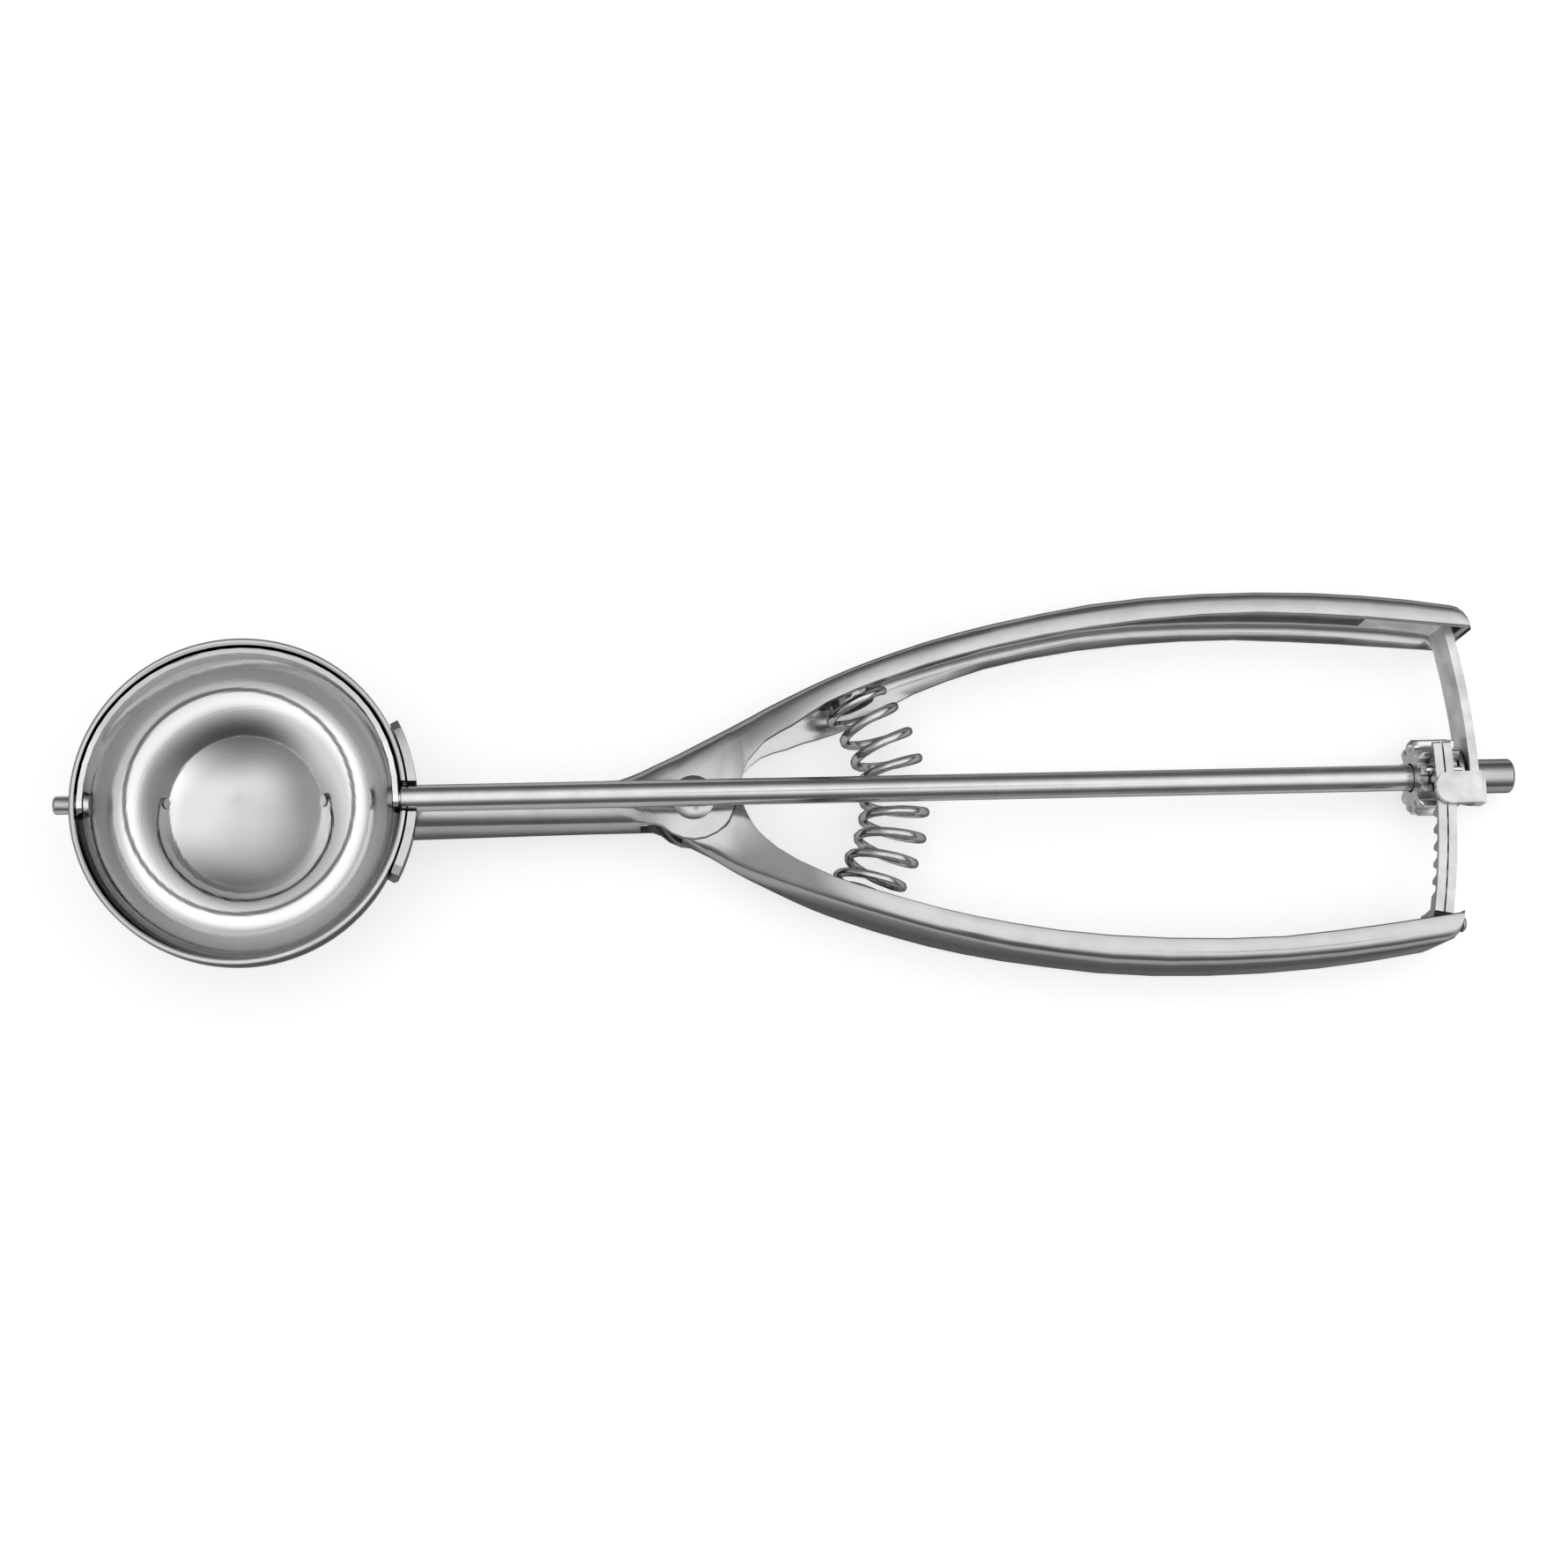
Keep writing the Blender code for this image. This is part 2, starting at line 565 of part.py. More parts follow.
def rack_edge():
    """Arc lengths and heights of the toothed edge, from the tip to the foot."""
    pitch = math.pi * MODULE
    tip = pitch_radius() - RACK_ADDENDUM
    root = pitch_radius() + MODULE + ROOT_CLEARANCE
    slant = math.tan(PRESSURE_ANGLE)
    half = pitch / 4 - RACK_BACKLASH / 2
    wide = half + (root - pitch_radius()) * slant
    narrow = half - RACK_ADDENDUM * slant
    edge = [(RACK_TIP_Y, root + 0.4 * MM), (RACK_TIP_Y - 0.4 * MM, root)]
    for k in range(RACK_TEETH):
        middle = (1 - k) * pitch - pitch / 2
        edge += [(middle + wide, root), (middle + narrow, tip), (middle - narrow, tip),
                 (middle - wide, root)]
    last = edge[-1][0]
    foot = rack_foot_y()
    edge += [(last - 0.8 * MM, root), (last - 1.6 * MM, tip), (-foot + 3.2 * MM, tip),
             (-foot + 2.6 * MM, rack_front_z() - RACK_FOOT),
             (-foot + 0.8 * MM, rack_front_z() - RACK_FOOT), (-foot, rack_front_z() - RACK_FOOT)]
    return edge


def make_rack(name):
    inner, outer = rack_radii(name)
    radius = (inner + outer) / 2
    path = []
    for s, low in rack_edge():
        angle = s / RACK_MIDDLE
        high = rack_front_z() - (0.8 * MM if s >= RACK_TIP_Y else 0.0)
        high -= CORNER * ease(-s, rack_foot_y() - 2.2 * MM, rack_foot_y() + 0.5 * MM)
        path.append((PIVOT_X + radius * math.cos(angle), radius * math.sin(angle), low, high))
    rack = bent_strip(name, path, outer - inner)
    for k, at in enumerate(rack_rivet_places()):
        boolean(rack, hole("%s_hole_%d" % (name, k), at, (1, 0, 0), RACK_RIVET_RADIUS + SEAT_GAP,
                           8 * MM))
    return finish(rack, roughness=0.28, parent=lever_axis, smooth=False)


def make_rack_rivet(name, at):
    """A rivet with its heads outside the lever's end wall and before the front rack plate."""
    x, y, z = at
    drop = RACK_MIDDLE - math.sqrt(RACK_MIDDLE ** 2 - y ** 2)
    far = PIVOT_X + lever_reach() + SEAT_GAP - x
    near = PIVOT_X + rack_radii("rack_front")[0] - drop - SEAT_GAP - 0.4 * MM - x
    head = RACK_RIVET_HEAD
    height = RACK_RIVET_HEAD_HEIGHT
    profile = [(0, far + height), (head * 0.7, far + height), (head, far + 0.2 * MM), (head, far),
               (RACK_RIVET_RADIUS, far), (RACK_RIVET_RADIUS, near), (head, near), (head, near - height),
               (0, near - height)]
    return finish(turned(name, profile, at, (1, 0, 0), 16), parent=lever_axis)


def gear_ring(x, limit, turn):
    """The pinion's outline at x, with no point beyond the limit radius."""
    pitch = pitch_radius()
    base = pitch * math.cos(PRESSURE_ANGLE)
    tip = pitch + MODULE
    root = pitch - 1.3 * MODULE

    def involute(radius):
        angle = math.acos(min(1.0, base / radius))
        return math.tan(angle) - angle

    half = (math.pi * MODULE / 2 - PINION_BACKLASH) / 2 / pitch
    flank = [(r, half + involute(pitch) - involute(r)) for r in (base, pitch, (pitch + tip) / 2, tip)]
    flank = [(root, flank[0][1] * 1.12)] + flank
    ring = []
    for k in range(PINION_TEETH):
        middle = turn + 2 * math.pi * k / PINION_TEETH
        for r, a in flank:
            ring.append((min(r, limit), middle - a))
        for r, a in reversed(flank):
            ring.append((min(r, limit), middle + a))
    return [(x, r * math.cos(a), r * math.sin(a)) for r, a in ring]


def pinion_span():
    """The pinion's front and rear end: centred on the rack plates."""
    middle = PIVOT_X + RACK_MIDDLE
    return middle - PINION_LENGTH / 2, middle + PINION_LENGTH / 2


def make_pinion():
    start, end = pinion_span()
    tip = pitch_radius() + MODULE
    turn = math.pi / 2
    rings = [gear_ring(start, tip - PINION_CHAMFER, turn), gear_ring(start + PINION_CHAMFER, tip, turn),
             gear_ring(end, tip, turn)]
    pinion = loft("pinion", rings)
    boolean(pinion, hole("pinion_bore", ((start + end) / 2, 0, 0), (1, 0, 0), ROD_RADIUS + SEAT_GAP,
                         PINION_LENGTH + 4 * MM))
    return finish(pinion, colour=(0.6, 0.6, 0.61), roughness=0.3, parent=shaft_axis, smooth=False)


def make_thrust_washer():
    start = pinion_span()[1] + SEAT_GAP
    end = PIVOT_X + math.sqrt(STRIP_INNER ** 2 - WASHER_RADIUS ** 2) - SEAT_GAP
    bore = ROD_RADIUS + SEAT_GAP
    profile = [(bore, end), (WASHER_RADIUS, end), (WASHER_RADIUS, start), (bore, start), (bore, end)]
    return finish(turned("thrust_washer", profile, (0, 0, 0), (1, 0, 0)), parent=shaft_axis)


def make_bearing_strip():
    """A strip that rests on the web inside the nose, runs down behind the racks to the shaft's
    bearing eye, and folds forward in a tab that holds the racks against the pinion."""
    middle = STRIP_INNER + STRIP_SHEET / 2
    web = GRIP_LENGTH - NOSE_LENGTH - 0.6 * MM
    top = fixed_high(web, SHEET) - SEAT_GAP - STRIP_SHEET / 2
    corner = 2.0 * MM
    path = []
    reach = math.sqrt(middle ** 2 - (top - corner) ** 2)
    for k in range(4):
        x = reach - corner - STRIP_FOOT * (3 - k) / 3
        path.append((PIVOT_X + x, fixed_high(x, SHEET) - SEAT_GAP - STRIP_SHEET / 2, STRIP_BACK,
                     STRIP_FRONT))
    join = path[-1][1]
    for a in (30, 60):
        path.append((PIVOT_X + reach - corner + corner * math.sin(math.radians(a)),
                     join - corner + corner * math.cos(math.radians(a)), STRIP_BACK, STRIP_FRONT))
    eye = [math.radians(a) for a in (70, 50, 30, 10, -10, -30, -50, -70)]
    tab_front = rack_front_z() + SEAT_GAP + TAB_SHEET / 2
    downs = [(top - corner - 0.5 * MM - (top - corner - 8 * MM) * k / 5, STRIP_BACK, STRIP_FRONT)
             for k in range(6)]
    downs += [(STRIP_EYE * math.sin(a), -STRIP_EYE * math.cos(a), STRIP_FRONT) for a in eye
              if STRIP_EYE * math.sin(a) > TAB_TOP_Y]
    downs += [(TAB_TOP_Y, -STRIP_EYE, STRIP_FRONT), (TAB_TOP_Y - 0.1 * MM, -STRIP_EYE, tab_front)]
    downs += [(STRIP_EYE * math.sin(a), -STRIP_EYE * math.cos(a), tab_front) for a in eye
              if STRIP_EYE * math.sin(a) < TAB_TOP_Y - 0.2 * MM]
    downs += [(TAB_BOTTOM_Y + 1.3 * MM, 0.5 * MM, tab_front), (TAB_BOTTOM_Y + 0.6 * MM, 3 * MM, tab_front),
              (TAB_BOTTOM_Y, 5.5 * MM, tab_front)]
    for y, low, high in downs:
        path.append((PIVOT_X + math.sqrt(middle ** 2 - y ** 2), y, low, high))
    strip = bent_strip("bearing_strip", path, STRIP_SHEET)

    rear = PIVOT_X + STRIP_INNER + STRIP_SHEET / 2
    half = (TAB_TOP_Y - TAB_BOTTOM_Y) / 2
    centre = (TAB_TOP_Y + TAB_BOTTOM_Y) / 2
    left = PIVOT_X + STRIP_INNER + STRIP_SHEET - TAB_LENGTH
    outline = [(rear, centre - half), (rear, centre + half)]
    outline += [(left + half * (1 - math.sin(math.radians(a))), centre + half * math.cos(math.radians(a)))
                for a in range(0, 181, 20)]
    low = rack_front_z() + SEAT_GAP
    rings = [[(x, y, z) for x, y in outline] for z in (low, low + TAB_SHEET)]
    boolean(strip, cutting(loft("rack_tab", rings, cutters)), "UNION")
    boolean(strip, hole("strip_bore", (rear, 0, 0), (1, 0, 0), ROD_RADIUS + SEAT_GAP, 8 * MM))
    return finish(strip, roughness=0.22)


# Shaft

def collar_span():
    start = PIVOT_X + STRIP_INNER + STRIP_SHEET + SEAT_GAP
    return start, start + COLLAR_LENGTH


def make_shaft_rod():
    """The rod is stepped down at the blade's tab, and its tip is peened over behind the tab."""
    rear = collar_span()[1] - COLLAR_END - SEAT_GAP
    blade = BOWL_RADIUS - BOWL_WALL - BLADE_CLEARANCE
    shoulder = blade + SEAT_GAP
    peen = blade - BLADE_SHEET - SEAT_GAP
    profile = [(0, rear), (ROD_RADIUS - 0.3 * MM, rear), (ROD_RADIUS, rear - 0.3 * MM),
               (ROD_RADIUS, shoulder), (TIP_RADIUS, shoulder), (TIP_RADIUS, peen), (PEEN_RADIUS, peen),
               (PEEN_RADIUS * 0.8, peen - PEEN_HEIGHT), (0, peen - PEEN_HEIGHT)]
    return finish(turned("shaft_rod", profile, (0, 0, 0), (1, 0, 0)), roughness=0.15,
                  parent=shaft_axis)


def make_rear_collar():
    start, end = collar_span()
    bore = ROD_RADIUS + SEAT_GAP
    profile = [(0, end), (COLLAR_RADIUS - 0.4 * MM, end), (COLLAR_RADIUS, end - 0.4 * MM),
               (COLLAR_RADIUS, start), (bore, start), (bore, end - COLLAR_END), (0, end - COLLAR_END)]
    return finish(turned("rear_collar", profile, (0, 0, 0), (1, 0, 0)), roughness=0.15,
                  parent=shaft_axis)


def make_scraper_blade():
    """A strap bent to a half circle just inside the bowl, with a round tab at each end."""
    outer = BOWL_RADIUS - BOWL_WALL - BLADE_CLEARANCE
    inner = outer - BLADE_SHEET
    tab = TAB_RADIUS / outer
    ends = [-tab * math.cos(math.radians(a)) for a in (15, 40, 60, 76, 90)]
    bend = [math.pi * k / 26 for k in range(1, 26)]
    rings = []
    for s in ends + bend + [math.pi - a for a in reversed(ends)]:
        past = -min(s, math.pi - s)
        if past > 0:
            half = math.sqrt(max(0.0, TAB_RADIUS ** 2 - (past * outer) ** 2))
        else:
            half = TAB_RADIUS + (BLADE_HALF_WIDTH - TAB_RADIUS) * ease(-past, 0.05, 0.5)
        ring = []
        for radius, offsets in ((outer, (-half, 0, half)), (inner, (half, 0, -half))):
            for z in offsets:
                r = math.sqrt(radius ** 2 - z ** 2)
                ring.append((-r * math.cos(s), r * math.sin(s), z))
        rings.append(ring)
    blade = loft("scraper_blade", rings)
    blade.rotation_euler = (-BLADE_REST, 0, 0)
    boolean(blade, hole("blade_pin_hole", (-outer, 0, 0), (1, 0, 0), PIN_RADIUS + SEAT_GAP, 6 * MM))
    boolean(blade, hole("blade_tip_hole", (outer, 0, 0), (1, 0, 0), TIP_RADIUS + SEAT_GAP, 6 * MM))
    return finish(blade, roughness=0.15, parent=shaft_axis)


def make_scraper_pin():
    """A pin through the bowl's wall and the blade's far tab, with its head inside the blade."""
    blade = BOWL_RADIUS - BOWL_WALL - BLADE_CLEARANCE
    head = -(blade - BLADE_SHEET - SEAT_GAP)
    end = -(BOWL_RADIUS + PIN_STICKS_OUT)
    profile = [(0, head + PEEN_HEIGHT), (PEEN_RADIUS * 0.8, head + PEEN_HEIGHT), (PEEN_RADIUS, head),
               (PIN_RADIUS, head), (PIN_RADIUS, end + 0.4 * MM), (PIN_RADIUS - 0.4 * MM, end), (0, end)]
    return finish(turned("scraper_pin", profile, (0, 0, 0), (1, 0, 0)), roughness=0.15,
                  parent=shaft_axis)


# Return spring

def spring_lean():
    """The angle of the web where the spring is seated, which its end turns follow."""
    step = 1 * MM
    rise = along(GRIP_OUTSIDE, SPRING_PLACE + step) - along(GRIP_OUTSIDE, SPRING_PLACE - step)
    return math.atan2(rise, 2 * step)


def seat_place():
    """Where the seat meets the web's inside, in X and Y, and the direction that it faces."""
    lean = spring_lean()
    facing = Vector((math.sin(lean), -math.cos(lean)))
    web = Vector((PIVOT_X + SPRING_PLACE, along(GRIP_OUTSIDE, SPRING_PLACE)))
    return web + facing * (SHEET + SEAT_GAP), facing


def make_spring_seat(name, side, parent):
    """A spun cup on the web that carries the spring's end turn, with a stud inside the turn."""
    at, facing = seat_place()
    profile = [(0, SPRING_STUD_HEIGHT), (SPRING_STUD_RADIUS - 0.6 * MM, SPRING_STUD_HEIGHT),
               (SPRING_STUD_RADIUS, SPRING_STUD_HEIGHT - 0.6 * MM),
               (SPRING_STUD_RADIUS, SPRING_SEAT_HEIGHT), (SPRING_PLATE_RADIUS, SPRING_SEAT_HEIGHT),
               (SPRING_PLATE_RADIUS, SPRING_SEAT_HEIGHT - 0.5 * MM), (SPRING_STUD_RADIUS, 0), (0, 0)]
    seat = turned(name, profile, (at.x, side * at.y, SPRING_END_Z), (facing.x, side * facing.y, 0))
    return finish(seat, roughness=0.3, parent=parent)


def spring_line(t):
    """The middle of the coil, from the fixed handle's seat at 0 to the lever's at 1. It bows to the
    rear and passes behind the shaft."""
    at, facing = seat_place()
    start = at + facing * (SPRING_SEAT_HEIGHT + SEAT_GAP + SPRING_WIRE / 2)
    behind = -(ROD_RADIUS + SPRING_CLEARANCE + SPRING_RADIUS)
    hump = 1 - (2 * t - 1) ** 2
    return Vector((start.x + SPRING_BOW * hump, start.y * (1 - 2 * t),
                   SPRING_END_Z + (behind - SPRING_END_Z) * hump ** 2))


def make_return_spring():
    count = SPRING_TURNS * SPRING_POINTS
    closed = 1.0 / SPRING_TURNS
    pitch_end = (SPRING_WIRE + SPRING_END_GAP) / (2 * spring_line(0).y)
    radius = SPRING_RADIUS - SPRING_WIRE / 2
    points = []
    for i in range(count + 1):
        u = i / count
        if u < closed:
            t = u / closed * pitch_end
        elif u > 1 - closed:
            t = 1 - (1 - u) / closed * pitch_end
        else:
            t = pitch_end + (u - closed) / (1 - 2 * closed) * (1 - 2 * pitch_end)
        lean = spring_lean() * (1 - 2 * t) * (1 + 3.2 * t * (1 - t))
        across = Vector((math.cos(lean), math.sin(lean), 0))
        up = Vector((0, 0, 1))
        turn = 2 * math.pi * i / SPRING_POINTS
        points.append(spring_line(t) + radius * (math.cos(turn) * across + math.sin(turn) * up))
    gap = min((points[i] - points[j]).length for i in range(count + 1)
              for j in range(i + SPRING_POINTS // 2, count + 1)) - SPRING_WIRE
    print("return_spring: least gap to itself %.2f mm" % (gap / MM))
    curve = bpy.data.curves.new("return_spring", "CURVE")
    curve.dimensions = "3D"
    curve.bevel_depth = SPRING_WIRE / 2
    curve.bevel_resolution = 1
    curve.use_fill_caps = True
    spline = curve.splines.new("POLY")
    spline.points.add(count)
    for point, place in zip(spline.points, points):
        point.co = (*place, 1)
    drawn = bpy.data.objects.new("spring_curve", curve)
    parts.objects.link(drawn)
    mesh = bpy.data.meshes.new_from_object(drawn.evaluated_get(bpy.context.evaluated_depsgraph_get()))
    bm = bmesh.new()
    bm.from_mesh(mesh)
    bmesh.ops.remove_doubles(bm, verts=bm.verts, dist=0.00001)
    bpy.data.objects.remove(drawn)
    return finish(add_mesh("return_spring", bm), colour=(0.55, 0.55, 0.56), roughness=0.25)


# The scoop as it lies on a table

def resting_tilt():
    """The angle at which bowl and handles touch the table together."""
    angles = []
    for k in range(60, 140):
        x, z = PIVOT_X + k * MM, along(GRIP_BACK, k * MM)
        angles.append(math.asin(BOWL_RADIUS / math.hypot(x, z)) + math.atan2(z, x))
    return min(angles)


def lay_down():
    scoop.rotation_euler = (0, resting_tilt(), 0)
    bpy.context.view_layer.update()
    depsgraph = bpy.context.evaluated_depsgraph_get()
    low, high = Vector((9, 9, 9)), Vector((-9, -9, -9))
    for piece in parts.objects:
        if piece.type != "MESH":
            continue
        shape = piece.evaluated_get(depsgraph)
        for vertex in shape.data.vertices:
            point = shape.matrix_world @ vertex.co
            low = Vector(map(min, low, point))
            high = Vector(map(max, high, point))
    scoop.location = (-(low.x + high.x) / 2, -(low.y + high.y) / 2, -low.z)
    bpy.context.view_layer.update()


make_bowl()
make_saddle()
make_fixed_handle()
make_moving_handle()
make_pivot_rivet()
make_bearing_strip()
make_rack("rack_front")
make_rack("rack_rear")
make_rack_rivet("rack_rivet_front", rack_rivet_places()[0])
make_rack_rivet("rack_rivet_rear", rack_rivet_places()[1])
make_shaft_rod()
make_pinion()
make_thrust_washer()
make_rear_collar()
make_scraper_blade()
make_scraper_pin()
make_spring_seat("spring_seat_upper", 1, scoop)
make_spring_seat("spring_seat_lower", -1, lever_axis)
make_return_spring()
lay_down()
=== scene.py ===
"""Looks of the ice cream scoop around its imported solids, in metres, lying on a pale table."""
import json
import math

import bmesh
import bpy
import numpy as np
from mathutils import Matrix, Vector


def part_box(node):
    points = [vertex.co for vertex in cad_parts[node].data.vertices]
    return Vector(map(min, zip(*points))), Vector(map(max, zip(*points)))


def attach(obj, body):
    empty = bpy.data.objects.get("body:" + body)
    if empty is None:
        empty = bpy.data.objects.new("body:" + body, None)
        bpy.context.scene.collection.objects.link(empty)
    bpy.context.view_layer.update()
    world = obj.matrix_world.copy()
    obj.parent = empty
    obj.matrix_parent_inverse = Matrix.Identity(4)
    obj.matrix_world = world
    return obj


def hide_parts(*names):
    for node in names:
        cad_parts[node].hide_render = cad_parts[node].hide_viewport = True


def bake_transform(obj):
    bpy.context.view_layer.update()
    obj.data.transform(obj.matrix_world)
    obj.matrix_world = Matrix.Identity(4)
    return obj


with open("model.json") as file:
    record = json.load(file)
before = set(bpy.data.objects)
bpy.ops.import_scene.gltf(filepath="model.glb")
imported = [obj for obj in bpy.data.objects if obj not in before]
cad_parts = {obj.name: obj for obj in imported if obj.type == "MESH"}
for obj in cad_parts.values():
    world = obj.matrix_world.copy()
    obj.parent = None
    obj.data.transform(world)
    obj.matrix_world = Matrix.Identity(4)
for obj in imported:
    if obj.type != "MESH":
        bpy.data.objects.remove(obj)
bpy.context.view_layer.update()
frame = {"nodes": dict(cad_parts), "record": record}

# Camera
# The view, the distance and the lens were fitted to the photograph: its rim ellipse, its rod and the
# outlines of the two handles, for a square frame.
camera_data = bpy.data.cameras.new("camera")
camera_data.sensor_width = 36
camera_data.lens = 58.65
camera = bpy.data.objects.new("camera", camera_data)
camera.location = (0.00012, -0.09445, 0.4614)
camera.rotation_euler = (math.radians(12.197), math.radians(0.857), math.radians(-2.199))
bpy.context.scene.collection.objects.link(camera)
bpy.context.scene.camera = camera
bpy.context.scene.view_settings.view_transform = "Standard"

# Table
# A wide matt table top, painted white, just under the scoop. Its mirror image in the steel is a flat grey
# glow instead,
# darker than the table itself: a painted dark reflection which keeps light rims off the outlines of the
# handles.
table_width = 6
table_top = -0.0004
bpy.ops.mesh.primitive_plane_add(size=table_width, location=(0, 0, table_top))
floor = bpy.context.object
floor.name = "floor"
floor_paint = bpy.data.materials.new("floor_paint")
floor_paint.use_nodes = True
paint = floor_paint.node_tree
matt_white = paint.nodes["Principled BSDF"]
matt_white.inputs["Base Color"].default_value = (0.52, 0.52, 0.52, 1)
matt_white.inputs["Roughness"].default_value = 0.9
matt_white.inputs["Specular IOR Level"].default_value = 0.1
matt_white.inputs["Emission Color"].default_value = (1, 1, 1, 1)
matt_white.inputs["Emission Strength"].default_value = 0.6
# Painted dark reflection: glossy rays see this grey glow in place of the white table.
painted_table_reflection = paint.nodes.new("ShaderNodeEmission")
painted_table_reflection.inputs["Color"].default_value = (0.5, 0.5, 0.5, 1)
paint_ray = paint.nodes.new("ShaderNodeLightPath")
paint_seen = paint.nodes.new("ShaderNodeMixShader")
paint.links.new(paint_ray.outputs["Is Glossy Ray"], paint_seen.inputs["Fac"])
paint.links.new(matt_white.outputs["BSDF"], paint_seen.inputs[1])
paint.links.new(painted_table_reflection.outputs["Emission"], paint_seen.inputs[2])
paint.links.new(paint_seen.outputs["Shader"], paint.nodes["Material Output"].inputs["Surface"])
floor.data.materials.append(floor_paint)

# Light
# One wide soft light, from overhead far to the right, with a dimmer left side and a dark room around
# it, which gives polished steel its dark edges. A lamp over the table fills the shadows.
world = bpy.data.worlds.new("studio")
bpy.context.scene.world = world
world.use_nodes = True
tent = world.node_tree
direction = tent.nodes.new("ShaderNodeTexCoord")
split = tent.nodes.new("ShaderNodeSeparateXYZ")
tent.links.new(direction.outputs["Generated"], split.inputs[0])
along_x, along_y, along_z = split.outputs
camera_from_bowl = (0.2154, -0.209, 0.954)
near_camera = tent.nodes.new("ShaderNodeVectorMath")
near_camera.operation = "DOT_PRODUCT"
near_camera.inputs[1].default_value = camera_from_bowl
tent.links.new(direction.outputs["Generated"], near_camera.inputs[0])

# Each edge of the light: what it is measured along, where it is dark, where it is bright, and the
# share of light in the dark. The last one is the dark front of the camera, as the bowl mirrors it.
light_edges = (
    (along_x, -0.6, 0.02, 0.3),
    (along_x, 1.05, 0.85, 0),
    (along_y, -0.93, -0.32, 0),
    (along_y, 0.92, 0.08, 0),
    (along_z, 0.0, 0.3, 0),
    (near_camera.outputs["Value"], 0.9992, 0.9955, 0.15),
)
glow = None
for along, dark, bright, least in light_edges:
    edge = tent.nodes.new("ShaderNodeMapRange")
    edge.interpolation_type = "SMOOTHSTEP"
    edge.inputs["From Min"].default_value = dark
    edge.inputs["From Max"].default_value = bright
    edge.inputs["To Min"].default_value = least
    tent.links.new(along, edge.inputs["Value"])
    if glow is None:
        glow = edge.outputs["Result"]
    else:
        both = tent.nodes.new("ShaderNodeMath")
        both.operation = "MULTIPLY"
        tent.links.new(glow, both.inputs[0])
        tent.links.new(edge.outputs["Result"], both.inputs[1])
        glow = both.outputs["Value"]
brightness = tent.nodes.new("ShaderNodeMapRange")
brightness.inputs["To Min"].default_value = 0.12
brightness.inputs["To Max"].default_value = 1.15
tent.links.new(glow, brightness.inputs["Value"])
studio = tent.nodes["Background"]
studio.inputs["Color"].default_value = (1, 1, 1, 1)
tent.links.new(brightness.outputs["Result"], studio.inputs["Strength"])
backdrop = tent.nodes.new("ShaderNodeBackground")
backdrop.inputs["Color"].default_value = (0.88, 0.88, 0.88, 1)
tent_ray = tent.nodes.new("ShaderNodeLightPath")
tent_seen = tent.nodes.new("ShaderNodeMixShader")
tent.links.new(tent_ray.outputs["Is Camera Ray"], tent_seen.inputs["Fac"])
tent.links.new(studio.outputs["Background"], tent_seen.inputs[1])
tent.links.new(backdrop.outputs["Background"], tent_seen.inputs[2])
tent.links.new(tent_seen.outputs["Shader"], tent.nodes["World Output"].inputs["Surface"])

lamp = bpy.data.lights.new("table_light", "AREA")
lamp.shape = "DISK"
lamp.size = 2.0
lamp.energy = 10
table_light = bpy.data.objects.new("table_light", lamp)
table_light.location = (0, 0, 1.6)
table_light.visible_glossy = False
bpy.context.scene.collection.objects.link(table_light)

# Handles
# Two stampings of stainless sheet, polished along their length. One is the fixed grip with its shank
# and pivot ears, the other the lever, whose cheeks turn between the ears.
nodes = frame["nodes"]
behaviour = frame["record"]["behaviour"]
body_of = {node: body for body, members in behaviour["bodies"].items() for node in members}

# Fine polishing lines along one direction and a faint cloudiness, which all the steels share: a bump
# height, a tone and a roughness.
lines = bpy.data.node_groups.new("polishing_lines", "ShaderNodeTree")
lines.interface.new_socket("Vector", in_out="INPUT", socket_type="NodeSocketVector")
lines.interface.new_socket("Stretch", in_out="INPUT", socket_type="NodeSocketVector")
for limit in ("Smoothest", "Roughest", "Darkest", "Lightest"):
    lines.interface.new_socket(limit, in_out="INPUT", socket_type="NodeSocketFloat")
for result in ("Height", "Tone", "Roughness"):
    lines.interface.new_socket(result, in_out="OUTPUT", socket_type="NodeSocketFloat")
group_in = lines.nodes.new("NodeGroupInput")
group_out = lines.nodes.new("NodeGroupOutput")
stretched = lines.nodes.new("ShaderNodeVectorMath")
stretched.operation = "MULTIPLY"
lines.links.new(group_in.outputs["Vector"], stretched.inputs[0])
lines.links.new(group_in.outputs["Stretch"], stretched.inputs[1])
fine = lines.nodes.new("ShaderNodeTexNoise")
fine.inputs["Scale"].default_value = 1.0
fine.inputs["Detail"].default_value = 3.0
lines.links.new(stretched.outputs["Vector"], fine.inputs["Vector"])
lines.links.new(fine.outputs["Fac"], group_out.inputs["Height"])
broad = lines.nodes.new("ShaderNodeTexNoise")
broad.inputs["Scale"].default_value = 90.0
broad.inputs["Detail"].default_value = 4.0
lines.links.new(group_in.outputs["Vector"], broad.inputs["Vector"])
worn = lines.nodes.new("ShaderNodeMath")
worn.operation = "MULTIPLY"
lines.links.new(fine.outputs["Fac"], worn.inputs[0])
lines.links.new(broad.outputs["Fac"], worn.inputs[1])
gloss = lines.nodes.new("ShaderNodeMapRange")
gloss.inputs["From Min"].default_value = 0.1
gloss.inputs["From Max"].default_value = 0.45
lines.links.new(worn.outputs["Value"], gloss.inputs["Value"])
lines.links.new(group_in.outputs["Smoothest"], gloss.inputs["To Min"])
lines.links.new(group_in.outputs["Roughest"], gloss.inputs["To Max"])
lines.links.new(gloss.outputs["Result"], group_out.inputs["Roughness"])
cloudy = lines.nodes.new("ShaderNodeTexNoise")
cloudy.inputs["Scale"].default_value = 220.0
cloudy.inputs["Detail"].default_value = 2.0
lines.links.new(group_in.outputs["Vector"], cloudy.inputs["Vector"])
